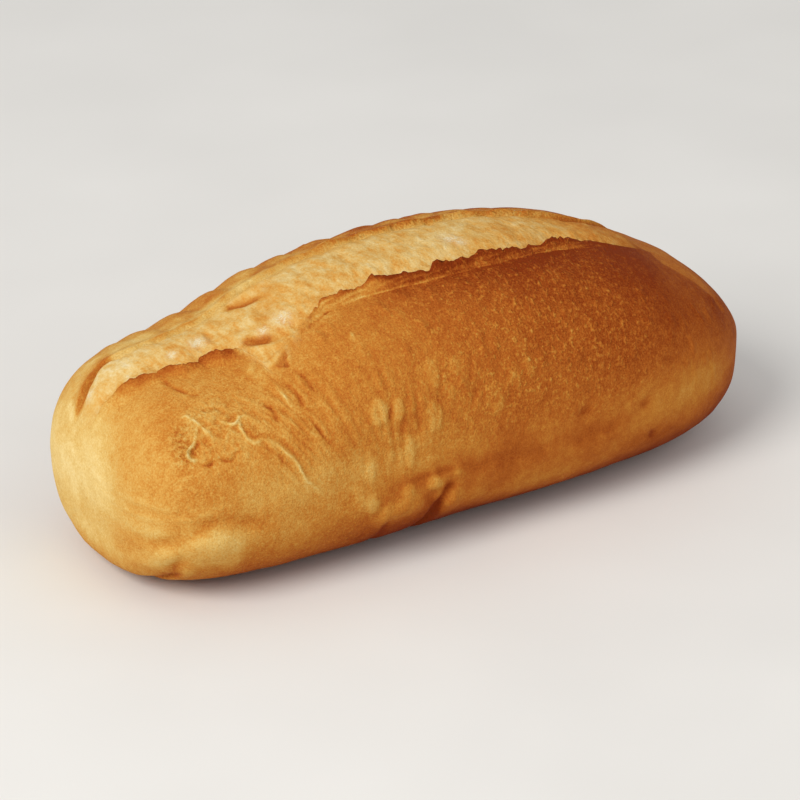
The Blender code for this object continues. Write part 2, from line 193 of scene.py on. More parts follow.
BUBBLES = (  # x, down, half length along x, half length down, rise
    (-24.4, 36.9, 2.0, 2.7, 0.5), (-20.3, 37.8, 1.2, 2.4, 0.4), (-19.0, 46.7, 1.1, 3.2, 0.4),
    (-27.7, 47.1, 1.1, 2.2, 0.35), (-11.5, 33.7, 1.4, 3.2, 0.35), (-6.6, 33.4, 1.1, 2.2, 0.35),
    (-13.0, 41.7, 1.9, 3.0, 0.45), (-15.6, 45.1, 1.5, 2.0, 0.3), (-27.5, 54.8, 1.4, 1.9, 0.5),
    (-24.0, 58.2, 1.7, 2.4, 0.5), (-21.0, 57.8, 1.7, 2.0, 0.45), (-19.7, 54.6, 1.5, 1.5, 0.5),
    (-10.2, 60.0, 1.6, 2.0, 0.6), (-14.0, 55.0, 1.5, 1.6, 0.5), (5.9, 38.8, 1.3, 2.9, 0.3),
    (9.3, 37.9, 1.2, 2.4, 0.3), (-30.5, 50.5, 1.2, 1.6, 0.25), (1.0, 42.0, 1.6, 3.4, 0.25),
)
# Y of the front edge of the evenly brown strip on top of the +X end, by X
FAR_STRIP = ((40, -2.0), (50, -6.5), (52.7, -8.3), (53.4, -12.5), (56.9, -14.7), (60.2, -17.1), (64, -20.5))
INNER_BROWNING = (  # browning inside the cut, as (x, browning)
    (-70, 0.16), (-60, 0.24), (-50, 0.33), (-40, 0.34), (-30, 0.35), (-10, 0.30), (5, 0.32), (14, 0.38),
    (20, 0.50), (32, 0.48), (40, 0.68), (48, 0.80), (60, 0.75),
)
CRAZED = (  # crazed places of the crust: x, down, half length, half width and strength
    (-62.8, 22.5, 2.2, 4.0, 1.0), (-57.0, 19.0, 6.0, 1.6, 0.6), (-30.0, 12.5, 3.5, 2.2, 0.7),
)
STRIP_BROWNING = 0.60
# Browning and painted shade of the crumb's hollows
HOLLOW_BROWNING_AND_SHADE = 0.68
TORN_SKIN = (-29.0, 12.5, 5.0, 2.5)  # x, down, half length and half width of the torn skin under the lip
PEELED = (-57.0, 22.5, 8.5, 6.5)  # the same of the peeled patch
WANDER = ((0.5, 15), (0.5, 16), (0.9, 30))  # how thin lines stray in x, in down and in rise: amount and seed
FACET = ((-36.1, 15.0), (-40.8, 17.0), (-37.4, 19.4))  # x and down of the corners of a folded facet
FACET_TILT = (0.3, 0.8)  # how far its first edge stands up, and how far it falls to its last corner
PLEAT_CENTRE = (-20.3, 80.0)  # x and down of the point where the fine pleats would meet
PLEAT_RISE = 0.32
BUBBLE_SHARE = 0.68
SMALL_BUBBLES = 150
SMALL_BUBBLE_PLACES = (-30, 64)  # x
SMALL_BUBBLE_DEPTHS = ((16, 40), (-60, -18))  # down, on the front and on the back
SMALL_BUBBLE_WIDTHS = (0.5, 0.9)
SMALL_BUBBLE_LENGTHS = (0.9, 1.9)
SMALL_BUBBLE_RISES = (0.1, 0.22)

# Mesh
STEPS = {"back": 30, "rim": 6, "cut": 42, "wall": 12, "side": 102, "fold": 38, "base": 6}
RINGS = 420
DETAIL_PLACE = (-52.0, 15.0, 0.7)  # x, spread and extra share of rings over the most detailed stretch
BASE_ANGLES = (-66.0, 246.0)
FOLD_ANGLE = 177.0
LEAST_CUT_SHARE = 0.16
LEAST_WALL_SHARE = 0.05
OUTLINE_SAMPLES = 4000
FAR_AWAY = 99.0  # distance from the lip given to the places behind it

# The camera looks down on the front and the blunter end, from afar through a long lens
CAMERA_AZIMUTH = -30.47
CAMERA_ELEVATION = 25.59
CAMERA_ROLL = 1.6
CAMERA_AIM = (-0.00300, -0.00191, 0.01876)
CAMERA_DISTANCE = 0.86446
CAMERA_LENS = 194.175
SENSOR_WIDTH = 36.0
CAMERA_REACH = 20.0

# The studio, in metres, watts and degrees
FLOOR_HALF_SIZE = 3.0
LIGHTS = (  # name, azimuth, elevation, distance, size, power and colour
    ("key", -72, 40, 1.3, 0.8, 12, (1.0, 0.985, 0.96)),
    ("fill", 25, 35, 1.6, 1.2, 4, (1.0, 1.0, 1.0)),
)
WORLD_STRENGTH = 0.53


def signed_power(value, exponent):
    return np.sign(value) * np.abs(value) ** exponent


def smooth_step(value):
    value = np.clip(value, 0, 1)
    return value * value * (3 - 2 * value)


def bell(value):
    return np.exp(-value * value)


def span(value, start, end, rise, fall):
    """1 well inside start to end and 0 outside, with a smooth rise and fall of these lengths."""
    return smooth_step((value - start) / rise) * smooth_step((end - value) / fall)


def spot(along, across, place, depth, half_length, half_width):
    """A soft round spot, 1 at its middle."""
    return bell((along - place) / half_length) * bell((across - depth) / half_width)


def curve_through(values, share):
    """A smooth curve through values spread evenly over share from -1 to 1."""
    ends = (2 * values[0] - values[1], 2 * values[-1] - values[-2])
    points = np.array([ends[0], *values, ends[1]])
    place = (share + 1) / 2 * (len(values) - 1)
    first = np.clip(np.floor(place).astype(int), 0, len(values) - 2)
    t = place - first
    a, b, c, d = (points[first + k] for k in range(4))
    return b + 0.5 * t * (c - a + t * (2 * a - 5 * b + 4 * c - d + t * (3 * (b - c) + d - a)))


def line_at(line, x):
    places, values = np.array(line, float).T
    return np.interp(x, places, values)


def noise_field(points, spacing, seed, detail=1):
    """Smooth noise of about -1 to 1, one value for each point."""
    shifted = points.reshape(-1, 3) / spacing + seed * 17.3
    values = [noise.fractal(Vector(point), 1.0, 2.0, detail) for point in shifted.tolist()]
    return np.array(values).reshape(points.shape[:-1])


# The skin of the loaf -----------------------------------------------------------------------------


def end_round(share, powers):
    power = powers[0] + (powers[1] - powers[0]) * (share + 1) / 2
    return np.maximum(1 - np.abs(share) ** power, 0) ** (1 / power)


def half_width(share):
    return WIDTH / 2 * end_round(share, PLAN_POWER_ENDS) * curve_through(PLAN_SWELL, share)


def even_shares(count):
    turn = np.linspace(-np.pi / 2, np.pi / 2, OUTLINE_SAMPLES)
    share = np.unique(np.concatenate([signed_power(np.sin(turn), 0.5), np.sin(turn)]))
    steps = np.hypot(np.diff(share) * LENGTH / 2, np.diff(half_width(share)))
    place, spread, extra = DETAIL_PLACE
    steps *= 1 + extra * bell((share[1:] * LENGTH / 2 - place) / spread)
    run = np.concatenate([[0], np.cumsum(steps)])
    return np.interp(np.linspace(0, run[-1], count + 2)[1:-1], run, share)


def skin(share, angle):
    height = (CROWN_HEIGHT + BASE_CUT) * curve_through(CROWN_SWELL, share)
    middle = height * WIDEST_SHARE
    rounding = np.maximum(end_round(share, CROWN_POWER_ENDS), 1e-6)
    rise = (height - middle) * rounding
    drop = middle * rounding**BELLY_LIFT_POWER
    cosine, sine = np.cos(angle), np.sin(angle)
    upper = sine >= 0
    power = np.where(upper, CROWN_POWER, BELLY_POWER)
    y = half_width(share) * signed_power(cosine, 2 / power)
    z = middle + np.where(upper, rise, drop) * signed_power(sine, 2 / power)
    y = y + CREST_SHIFT * np.maximum(sine, 0) + BOW * (1 - share**2)
    nose = np.where(share < 0, *NOSES) * share**25 * bell((z - middle) / NOSE_HALF_HEIGHT)
    x = share * LENGTH / 2 + nose
    return np.stack([x, y, np.maximum(z - BASE_CUT, 0)], axis=-1)


def angle_of(share, y):
    reach = (y - CREST_SHIFT - BOW * (1 - share**2)) / half_width(share)
    reach = np.clip(reach, -0.97, 0.97)
    return np.arccos(signed_power(reach, CROWN_POWER / 2))


def lip_y(x):
    lobes = np.zeros_like(x)
    for start, end in zip(LOBES[:-1], LOBES[1:]):
        lobes += np.sin(np.pi * np.clip((x - start) / (end - start), 0, 1)) ** LOBE_POWER
    flakes = np.zeros_like(x)
    for start, end in zip(FLAKES[:-1], FLAKES[1:]):
        share = (x - start) / (end - start)
        falling = np.maximum(share - FLAKE_SLOPE, 0) / (1 - FLAKE_SLOPE)
        flakes += np.where((share >= 0) & (share < 1), smooth_step(share / FLAKE_SLOPE) - falling - 0.5, 0)
    return line_at(LIP_LINE, x) + LOBE_REACH * lobes + FLAKE_STEP * flakes


def cut_angles(share):
    x = share * LENGTH / 2
    points = np.stack([x, 0 * x, 0 * x], axis=-1)
    jag = JAG * noise_field(points, 2.0, 3, detail=4) * (0.15 + 0.85 * smooth_step((x + 34) / 8))
    coarse = COARSE_JAG * noise_field(points, 4.0, 25, detail=2) * smooth_step((x + 32) / 8)
    rim_y = line_at(RIM_LINE, x) + RIM_WANDER * noise_field(points, 5.0, 5, detail=2) - jag
    rim, lip = angle_of(share, rim_y), angle_of(share, lip_y(x) + jag + coarse)
    middle = (lip + rim) / 2
    rim = np.minimum(rim, middle - LEAST_CUT_SHARE)
    lip = np.maximum(lip, middle + LEAST_CUT_SHARE)
    rim_foot = np.minimum(angle_of(share, rim_y + RIM_FOOT), rim - LEAST_WALL_SHARE)
    foot_y = line_at(LIP_LINE, x) - LIP_WALL + FOOT_WANDER * noise_field(points, 4.0, 31, detail=3)
    lip_foot = np.maximum(angle_of(share, foot_y), lip + LEAST_WALL_SHARE)
    return rim_foot, rim, lip, lip_foot


def ring_angles(share):
    level = np.ones_like(share)
    back, front = (np.radians(angle) * level for angle in BASE_ANGLES)
    rim_foot, rim, lip, lip_foot = cut_angles(share)
    marks = (back, rim_foot, rim, lip, lip_foot, np.radians(FOLD_ANGLE) * level, front, back + 2 * np.pi)
    stretches = []
    for start, end, steps in zip(marks[:-1], marks[1:], STEPS.values()):
        stretches.append(start[:, None] + (end - start)[:, None] * np.arange(steps) / steps)
    return np.concatenate(stretches, axis=1)


def first_column(name):
    names = list(STEPS)
    return sum(STEPS[earlier] for earlier in names[: names.index(name)])


def outward(points):
    along = np.gradient(points, axis=0)
    around = np.roll(points, -1, axis=1) - np.roll(points, 1, axis=1)
    normal = np.cross(around, along)
    normal /= np.linalg.norm(normal, axis=-1, keepdims=True) + 1e-12
    around /= np.linalg.norm(around, axis=-1, keepdims=True) + 1e-12
    return normal, around


def distance_down(points, angles):
    """Distance round each ring from the crest, positive towards the -Y side."""
    steps = np.linalg.norm(np.diff(points, axis=1), axis=-1)
    run = np.concatenate([np.zeros((len(points), 1)), np.cumsum(steps, axis=1)], axis=1)
    crest = [np.interp(np.pi / 2, turn, length) for turn, length in zip(angles, run)]
    return run - np.array(crest)[:, None]


# Relief -------------------------------------------------------------------------------------------


def fade_of_cut(x):
    return span(x, *CUT_ENDS, CUT_FADE, CUT_FADE)


def lip_relief(points, columns):
    """Relief of the raised lip, the distance up its wall, the height of its tip and the streaks along it."""
    x = points[..., 0]
    start, foot = first_column("wall"), first_column("side")
    on_wall = (columns >= start) & (columns <= foot)
    foot_points = points[:, foot : foot + 1]
    run = np.where(on_wall, np.linalg.norm(points[..., 1:] - foot_points[..., 1:], axis=-1), 0)
    full = run[:, start : start + 1]
    rise = np.clip(run / LIP_WALL, 0, 1.5)
    streaks = noise_field(np.stack([x * 0.09, run - 0.1 * x, 0 * x], axis=-1), 0.6, 6, detail=2)
    near_tip = smooth_step(run / full * 3 - 2) * on_wall
    ragged = noise_field(points * (1, 0, 0), 1.0, 7, detail=3) * near_tip
    tip = line_at(LIP_HEIGHT, x)
    lip = tip * (rise**1.2 * (0.9 + LIP_RAGGED * ragged) + 0.2 * streaks * smooth_step(run - 0.3))
    return lip * on_wall, run * on_wall, tip, streaks, near_tip


def rim_relief(points, columns):
    x = points[..., 0]
    end = first_column("cut")
    up_rim = smooth_step((columns - first_column("rim")) / STEPS["rim"]) * (columns <= end)
    uneven = 1 + 0.8 * noise_field(points * (1, 0, 0), 6.0, 4, detail=2)
    return RIM_HEIGHT * uneven * fade_of_cut(x) * up_rim


def scallop_relief(points):
    """Shallow waves along the back of the crown, each rising towards +X and then dropping."""
    x, y = points[..., 0], points[..., 1]
    share = np.zeros_like(x)
    for start, end in zip(SCALLOPS[:-1], SCALLOPS[1:]):
        inside = (x >= start) & (x < end)
        share = np.where(inside, (x - start) / (end - start), share)
    wave = np.sin(np.pi * share**1.5) ** 0.8 - 0.4
    ends = span(x, SCALLOPS[0], SCALLOPS[-1], *SCALLOP_FADES)
    near = bell((y - line_at(SCALLOP_PLACE, x)) / SCALLOP_SPREAD) * (points[..., 2] > 20)
    return line_at(SCALLOP_RISE, x) * wave * ends * near


def crumb_relief(points, columns):
    """Height of the torn crumb between the rim and the lip, and its share of the way across from the lip."""
    x, y = points[..., 0], points[..., 1]
    rim, lip = first_column("cut"), first_column("wall")
    across = np.clip((lip - columns) / STEPS["cut"], 0, 1)
    inside = (columns > rim) & (columns < lip)
    drawn = points * (1, 0.5, 0.5)
    lumps = 0.32 * noise_field(drawn, 4.0, 1, detail=2) + 0.06 * noise_field(drawn, 1.3, 8, detail=2)
    lumps *= 0.7 + 0.3 * smooth_step((x + 46) / 10)
    holes = np.minimum(noise_field(drawn, 2.6, 9, detail=2) + 0.15, 0) * 0.5
    depth = line_at(CRUMB_DEPTH, x)
    floor = -depth * (1 - smooth_step(across * 2.5)) - CRUMB_BACK_DEPTH * smooth_step(across * 5 - 4)
    floor = floor + CRUMB_BULGE * np.sin(np.pi * across) + lumps + holes
    floor += 0.8 * line_at(LIP_HEIGHT, x) * bell(across * 9)
    for half, rise, _, line in CRUMB_LINES.values():
        gap, share = distance_to_line(x, y, line)
        floor = floor + rise * bell(gap / half) * np.sin(np.pi * (0.15 + 0.7 * share))
    fade = fade_of_cut(x)
    return np.where(inside, floor * fade, 0), np.where(inside, across, 0), inside * fade


def seam_depth(x, z):
    total = np.zeros_like(x)
    for half, depth, line in SEAMS:
        places, heights = np.array(line, float).T
        fade = span(x, places[0], places[-1], SEAM_FADE, SEAM_FADE)
        total += depth * fade * bell((z - np.interp(x, places, heights)) / half)
    return total


def fold_relief(points):
    wobble = 0.7 * noise_field(points, 4.0, 26, detail=2)
    x, y, z = np.moveaxis(points, -1, 0)
    strength = 1 + 0.6 * noise_field(points, 5.0, 27)
    relief = -seam_depth(x, z + wobble) * strength
    x = x + 0.6 * wobble
    for foot, slope, top, half, depth in CRACKS:
        span = smooth_step((top - z) / 4) * smooth_step(z / 1.5)
        relief -= depth * span * bell((x - foot - slope * z) / half)
    for place, height, half_length, half_height, rise in LUMPS:
        relief += rise * spot(x, z, place, height, half_length, half_height)
    return relief * smooth_step(-y / 4)


def facet_relief(x, down):
    """A small facet that falls away from its first edge, and its share of this place."""
    inside = np.ones_like(x)
    gaps = []
    for i in range(3):
        (ax, ay), (bx, by), (cx, cy) = FACET[i], FACET[i - 2], FACET[i - 1]
        across, over = by - ay, ax - bx
        reach = ((cx - ax) * across + (cy - ay) * over) / math.hypot(across, over)
        gap = ((x - ax) * across + (down - ay) * over) / math.hypot(across, over) * math.copysign(1, reach)
        gaps.append(np.clip(gap / abs(reach), 0, 1))
        inside = inside * smooth_step(gap / 0.5 + 0.3)
    return (FACET_TILT[0] - FACET_TILT[1] * gaps[0]) * inside, inside


def crown_hollow(points):
    x, z = points[..., 0], points[..., 2]
    depth = sum(depth * bell((x - place) / spread) for place, spread, depth in CROWN_HOLLOWS)
    return depth * smooth_step((z - 28) / 14)


def distance_to_line(x, down, line):
    """Distance to a chain of straight stretches, and the share of the way along it."""
    best = np.full(x.shape, 1e9)
    share = np.zeros_like(x)
    count = len(line) - 1
    for i in range(count):
        (ax, ay), (bx, by) = line[i], line[i + 1]
        length = (bx - ax) ** 2 + (by - ay) ** 2
        t = np.clip(((x - ax) * (bx - ax) + (down - ay) * (by - ay)) / length, 0, 1)
        gap = np.hypot(x - ax - t * (bx - ax), down - ay - t * (by - ay))
        share = np.where(gap < best, (i + t) / count, share)
        best = np.minimum(best, gap)
    return best, share


def line_relief(x, down, wobble):
    relief = np.zeros_like(x)
    for half, rise, line in LINES.values():
        gap, share = distance_to_line(x + wobble[0], down + wobble[1], line)
        taper = np.sin(np.pi * (0.08 + 0.84 * share))
        relief += rise * taper * bell(gap / half) * (1 + wobble[2])
    return relief


def bubble_relief(x, down):
    relief = np.zeros_like(x)
    for place, depth, half_x, half_down, rise in BUBBLES:
        reach = ((x - place) / half_x) ** 2 + ((down - depth) / half_down) ** 2
        relief += BUBBLE_SHARE * rise * smooth_step(1.4 - reach)
    return relief


def small_bubble_relief(x, down):
    """Small upright blisters, thickest on the +X half and on the hidden back."""
    random = np.random.default_rng(11)
    relief = np.zeros_like(x)
    for _ in range(SMALL_BUBBLES):
        place = random.uniform(*SMALL_BUBBLE_PLACES)
        depth = random.choice([random.uniform(*depths) for depths in SMALL_BUBBLE_DEPTHS])
        half_x, half_down = random.uniform(*SMALL_BUBBLE_WIDTHS), random.uniform(*SMALL_BUBBLE_LENGTHS)
        rise = random.uniform(*SMALL_BUBBLE_RISES)
        near = (np.abs(x - place) < 3) & (np.abs(down - depth) < 5)
        reach = ((x[near] - place) / half_x) ** 2 + ((down[near] - depth) / half_down) ** 2
        relief[near] += rise * smooth_step(1.5 - reach)
    return relief


def pleat_relief(x, down):
    """Fine pleats of the front, fanned out from a point under the loaf."""
    turn = np.arctan2(x - PLEAT_CENTRE[0], PLEAT_CENTRE[1] - down)
    reach = np.hypot(x - PLEAT_CENTRE[0], PLEAT_CENTRE[1] - down)
    fan = np.stack([turn * 60, reach * 0.13, 0 * turn], axis=-1)
    ridges = noise_field(fan, 1.0, 12, detail=3)
    near = bell((x + 41) / 9) * span(down, 17, 46, 6, 12)
    middle = bell((x + 22) / 14) * span(down, 26, 56, 8, 12)
    far = bell((x + 4) / 12) * span(down, 30, 50, 6, 12)
    return PLEAT_RISE * ridges * np.clip(near + 0.6 * middle + 0.6 * far, 0, 1)


def peeled_relief(x, down, points):
    """The crazed patch of the near front."""
    cells = np.abs(noise_field(points, 2.4, 14, detail=2))
    crumbs = 0.14 * noise_field(points, 1.1, 33, detail=2)
    return spot(x, down, *PEELED) * (0.35 - 1.1 * np.minimum(cells, 0.35) + crumbs)


def loaf_surface():
    """Every vertex of the loaf in millimetres, and the values its material reads."""
    share = even_shares(RINGS)
    angles = ring_angles(share)
    points = skin(share[:, None], angles)
    down = distance_down(points, angles)
    x = points[..., 0]
    columns = np.broadcast_to(np.arange(points.shape[1])[None, :], x.shape)
    normal, around = outward(points)

    lip, run_up, lip_height, streaks, near_tip = lip_relief(points, columns)
    rim = rim_relief(points, columns)
    crumb, across, inside = crumb_relief(points, columns)
    on_crust = np.where(columns >= first_column("side"), 1.0, 0.0)
    on_lip = np.where(columns > first_column("wall"), 1.0, 0.0)
    off_base = smooth_step(points[..., 2] / 5)
    wobble = [amount * noise_field(points, 2.5, seed, detail=2) for amount, seed in WANDER]
    lines = line_relief(x, down, wobble)
    facet, on_facet = facet_relief(x, down)
    torn = spot(x, down, *TORN_SKIN) * noise_field(points, 1.3, 29, detail=2)
    fine = lines + bubble_relief(x, down) + pleat_relief(x, down)
    fine = (fine + 0.5 * torn + peeled_relief(x, down, points)) * on_crust + facet * on_lip
    skin_bubbles = small_bubble_relief(x, down) * (1 - inside)
    uneven = 0.4 * noise_field(points, 24.0, 2) + 0.16 * noise_field(points, 7.0, 17, detail=2)
    scallops = scallop_relief(points)
    folds = fold_relief(points)
    height = lip + rim + crumb + scallops + folds - crown_hollow(points)
    height = height + (fine + skin_bubbles + uneven) * off_base
    lean = np.where(columns == first_column("wall"), LIP_OVERHANG * lip_height, 0)
    moved = points + normal * height[..., None] - around * lean[..., None]
    moved[..., 2] = np.where(points[..., 2] <= 0, 0, np.maximum(moved[..., 2], 0))
    values = {
        "points": points, "columns": columns, "down": down, "inside": inside, "across": across,
        "run_up": run_up, "near_tip": near_tip, "streaks": streaks, "scallops": scallops,
        "relief": (fine + folds) * off_base,
        "lines": (lines + 0.7 * torn) * on_lip,
        "on_facet": on_facet * on_lip,
    }
    return moved, values


def browning_and_shade(values):
    """How dark each place is, from 0, pale, to 1, darkest: its baked browning, with painted light and shade
    in places.
    """
    x, y, z = np.moveaxis(values["points"], -1, 0)
    down = values["down"]
    # Darker towards +X: partly baked browner, partly painted light that is brightest on the -X end, towards
    # the key light
    brown = 0.36 + 0.52 * (x + 70) / 130

    # Browner on both sides of the cut, and most of all under the lip
    reach = 5.5 + 5 * smooth_step((x + 10) / 35)
    beside_cut = np.exp(-np.maximum(np.abs(down) - 11.5, 0) / reach) * (1 - 0.45 * smooth_step(y / 12))
    brown += 0.27 * beside_cut * span(x, -19, 62, 11, 22)
    below_lip = np.exp(-np.maximum(down - 12, 0) / 5) * smooth_step(down / 10)
    brown += 0.15 * below_lip * span(x, -8, 32, 9, 14)

    # Paler round the middle of the sides, and on the crown of the +X half
    brown -= 0.11 * bell((z - 23) / 5) * span(x, -60, 4, 15, 15)
    brown -= 0.22 * bell((z - 19) / 7) * smooth_step((x - 22) / 20)
    brown -= 0.11 * bell((z - 19) / 9) * span(x, 0, 64, 15, 12)
    brown -= 0.07 * smooth_step((z - 14) / 8) * span(x, 42, 66, 10, 12)
    brown -= 0.06 * smooth_step((x - 28) / 8) * smooth_step((18 - np.abs(down)) / 5)

    # Darker towards the foot, partly baked brown and partly painted shade near the floor; darker along its
    # folds, painted shade in their creases
    near_foot = smooth_step((16 - z) / 15) * smooth_step((x + 68) / 22)
    brown += 0.34 * near_foot * (1 - 0.45 * smooth_step((x - 22) / 18))
    brown += bell((z - 17) / 6) * (0.08 * bell((x + 67) / 6) + 0.06 * bell((x + 19) / 6))
    brown += smooth_step((18 - z) / 6) * (0.16 * bell((x + 16) / 13) + 0.12 * smooth_step((-46 - x) / 10))

    # Paler on the nose of the -X end, a painted highlight where the key light falls most, and browner on the
    # front of its first lobes
    on_nose = smooth_step((-67 - x) / 4) * smooth_step((y + 17) / 16) * smooth_step((z - 3) / 6)
    brown -= 0.25 * on_nose * (1 - 0.55 * smooth_step((z - 22) / 9))
    # Painted light: the whole -X end a little paler
    brown -= 0.06 * smooth_step((-62 - x) / 8)
    brown += 0.07 * smooth_step((-52 - x) / 10) * smooth_step((z - 18) / 8) * smooth_step((-5 - y) / 10)

    # Painted shade on the folded facet, which faces away from the key light; raised lines paler and their
    # creases darker, partly pale torn skin and partly painted highlight and shade
    brown += 0.17 * values["on_facet"] - 0.34 * np.clip(values["lines"], -0.6, 0.6)
    strip = smooth_step((y - line_at(FAR_STRIP, x)) / 0.8) * smooth_step((16 - y) / 16)
    brown += (STRIP_BROWNING - brown) * strip * span(x, 46, 66, 4, 6) * (z > 18)
    for place, depth, half_length, half_width, amount in BROWN_PATCHES:
        brown += amount * spot(x, down, place, depth, half_length, half_width)
    return brown


def lip_browning(values):
    """How much browner the lip is: dark at its tip, streaked on its wall, pale along the fold at its foot.
    """
    points, run, gap = values["points"], values["run_up"], values["lip_gap"]
    x = points[..., 0]
    raised = span(x, -29, 44, 5, 10)
    golden = 0.12 * bell((x - 27) / 8)
    on_wall = 0.24 * values["streaks"] - 0.10 - golden + 0.26 * values["near_tip"]
    broken = 0.6 + 0.8 * noise_field(points, 2.2, 28, detail=2)
    fold = smooth_step((x + 23) / 8) * broken * bell((run - 0.22) / 0.17) * (run > 0)
    uneven = 1 + 0.5 * noise_field(points, 3.0, 21, detail=2)
    deepest = 0.6 + 0.4 * bell((x + 47) / 3) + 0.3 * bell((x + 60) / 3)
    lobe_tips = 0.23 * deepest * bell(gap / 1.8) + 0.14 * np.exp(-gap / 4)
    on_lobes = span(x, -68, -43, 6, 2) * uneven * lobe_tips
    return raised * (smooth_step(run * 3) * on_wall - 0.26 * fold) + on_lobes


def rim_band(values):
    """Golden band of the back rim, which fades into the brown of the back."""
    x, columns, down = values["points"][..., 0], values["columns"], values["down"]
    rim_column = first_column("cut")
    gap = np.abs(down - down[:, rim_column : rim_column + 1])
    reach = np.where(columns <= rim_column, smooth_step((13 - gap) / 9), smooth_step((3.5 - gap) / 3))
    return reach * (columns < first_column("wall")) * smooth_step((60 - x) / 10)


def crumb_browning_and_shade(x, y):
    """How far the crumb is darkened like crust along its hollows: partly browning, partly painted shade."""
    share = np.zeros_like(x)
    for half, _, amount, line in CRUMB_LINES.values():
        gap = distance_to_line(x, y, line)[0]
        share = np.maximum(share, amount * bell(gap / half))
    return share


def crumb_share(values, hollows, patches):
    """How far each place shows pale crumb, which also spills a little over the lip near the notch."""
    points, columns, across = values["points"], values["columns"], values["across"]
    x = points[..., 0]
    soft = 0.35 * noise_field(points, 1.6, 23, detail=3)
    share = values["inside"] * smooth_step(across * 30) * smooth_step((1 - across) * 4 + soft)
    patchy_x = x + 3 * patches
    browner = 0.2 * smooth_step((patchy_x + 12) / 36) + 0.3 * smooth_step((patchy_x - 38) / 18)
    share *= (1 - 0.85 * hollows) * (1 - browner)
    spill = np.exp(-values["lip_gap"] / (1.5 + soft)) * span(x, -44.5, -26, 2, 6)
    return np.maximum(share, 0.9 * spill * (columns >= first_column("wall")))


def speckling(x, down, z):
    """How strongly the crust is dotted with fine blisters, whose pale tips are partly paler skin and partly
    painted highlight.
    """
    speckle = 0.6 + 0.6 * span(x, -20, 54, 30, 26) * smooth_step((z - 20) / 14)
    speckle -= 0.35 * smooth_step((x - 28) / 20)
    speckle += 0.5 * spot(x, down, -55, 24, 12, 9)
    speckle -= 0.5 * smooth_step((26 - z) / 8) * smooth_step((x + 34) / 20)
    return np.maximum(speckle, 0)


def material_values(values):
    """The fields that the material reads, by the names of their attributes."""
    points, columns, down, inside = (values[name] for name in ("points", "columns", "down", "inside"))
    x, y, z = np.moveaxis(points, -1, 0)
    tip_column = first_column("wall")
    gap = down - down[:, tip_column : tip_column + 1]
    values["lip_gap"] = np.where(columns >= tip_column, gap, FAR_AWAY)
    brown = browning_and_shade(values) + lip_browning(values)

    patches = noise_field(points * (0.5, 1, 1), 3.0, 22, detail=3)
    golden = 0.33 + 0.18 * smooth_step((x + 30) / 14) - 0.10 * smooth_step((-48 - x) / 12)
    # Painted light: the golden band paler at the very -X end, where the key light falls most
    golden += 0.12 * values["scallops"] - 0.13 * smooth_step((-67.5 - x) / 3.5)
    golden += (0.28 - 0.14 * smooth_step((-58 - x) / 8)) * patches
    brown += (golden - brown) * rim_band(values)
    # Painted light and shade: paler on raised relief, darker in its creases and cracks
    brown -= 0.45 * np.clip(values["relief"], -0.45, 0.45)
    # Painted shade and light across the crumb: darker towards the lip and lighter towards the rim on the -X
    # half, lighter towards the rim near x = 20
    slope = 0.26 * (0.5 - values["across"]) * smooth_step((-14 - x) / 12)
    slope -= 0.16 * values["across"] * bell((x - 20) / 14)
    brown += (line_at(INNER_BROWNING, x) + slope - brown) * inside
    # Crumb darker along its hollows and a little paler on its ridges: partly browning, partly painted shade
    hollows = np.clip(crumb_browning_and_shade(x, y), 0, 1) * (columns < tip_column)
    brown += (HOLLOW_BROWNING_AND_SHADE - brown) * hollows

    craze = sum(strength * spot(x, down, *place) for *place, strength in CRAZED)
    floury = np.zeros_like(x)
    for place, across, radius in FLOURY:
        floury = np.maximum(floury, bell(np.hypot(x - place, y - across) / radius))
    return {
        "browning_and_shade": np.clip(brown, 0, 1),
        "crumb": np.clip(crumb_share(values, hollows, patches), 0, 1),
        "speckle": speckling(x, down, z),
        "craze": craze,
        "floury": floury * inside,
    }


def set_attribute(mesh, name, values):
    attribute = mesh.attributes.new(name, "FLOAT", "POINT")
    attribute.data.foreach_set("value", np.asarray(values, np.float32))


def loaf_mesh():
    rings, values = loaf_surface()
    ends = [skin(np.array([[side * (1 - 1e-9)]]), np.array([[0.0]]))[0, 0] for side in (-1, 1)]
    count, around = rings.shape[:2]
    points = np.concatenate([rings.reshape(-1, 3), ends])
    points[:, :2] -= OUTLINE_CENTRE
    corner = np.arange(count * around).reshape(count, around)
    following = np.roll(corner, -1, axis=1)
    quads = np.stack([corner[:-1], corner[1:], following[1:], following[:-1]], axis=-1).reshape(-1, 4)
    fans = []
    tip = count * around
    for j in range(around):
        fans.append((tip, corner[0, j], following[0, j]))
        fans.append((tip + 1, following[-1, j], corner[-1, j]))
    mesh = bpy.data.meshes.new("baked_loaf")
    mesh.from_pydata((points * MM).tolist(), [], quads.tolist() + fans)
    mesh.update()
    for name, field in material_values(values).items():
        end_values = [field[0].mean(), field[-1].mean()]
        set_attribute(mesh, name, np.concatenate([field.reshape(-1), end_values]))
    mesh.shade_smooth()
    return mesh


# Materials ----------------------------------------------------------------------------------------


def srgb(red, green, blue):
    channels = []
    for value in (red, green, blue):
        value /= 255
        channels.append(value / 12.92 if value <= 0.04045 else ((value + 0.055) / 1.055) ** 2.4)
    return (*channels, 1.0)


CRUST_RAMP = (
    (0.0, (234, 208, 145)), (0.12, (226, 194, 124)), (0.25, (215, 176, 100)), (0.4, (206, 152, 72)),
    (0.55, (192, 124, 48)), (0.7, (175, 96, 34)), (0.85, (152, 73, 23)), (1.0, (127, 49, 14)),
)
CRUMB_RAMP = (
    (0.0, (194, 120, 44)), (0.3, (211, 153, 73)), (0.5, (216, 173, 99)), (0.72, (222, 191, 127)),
    (1.0, (229, 208, 160)),
)
FLOURY_COLOUR = (224, 212, 178)


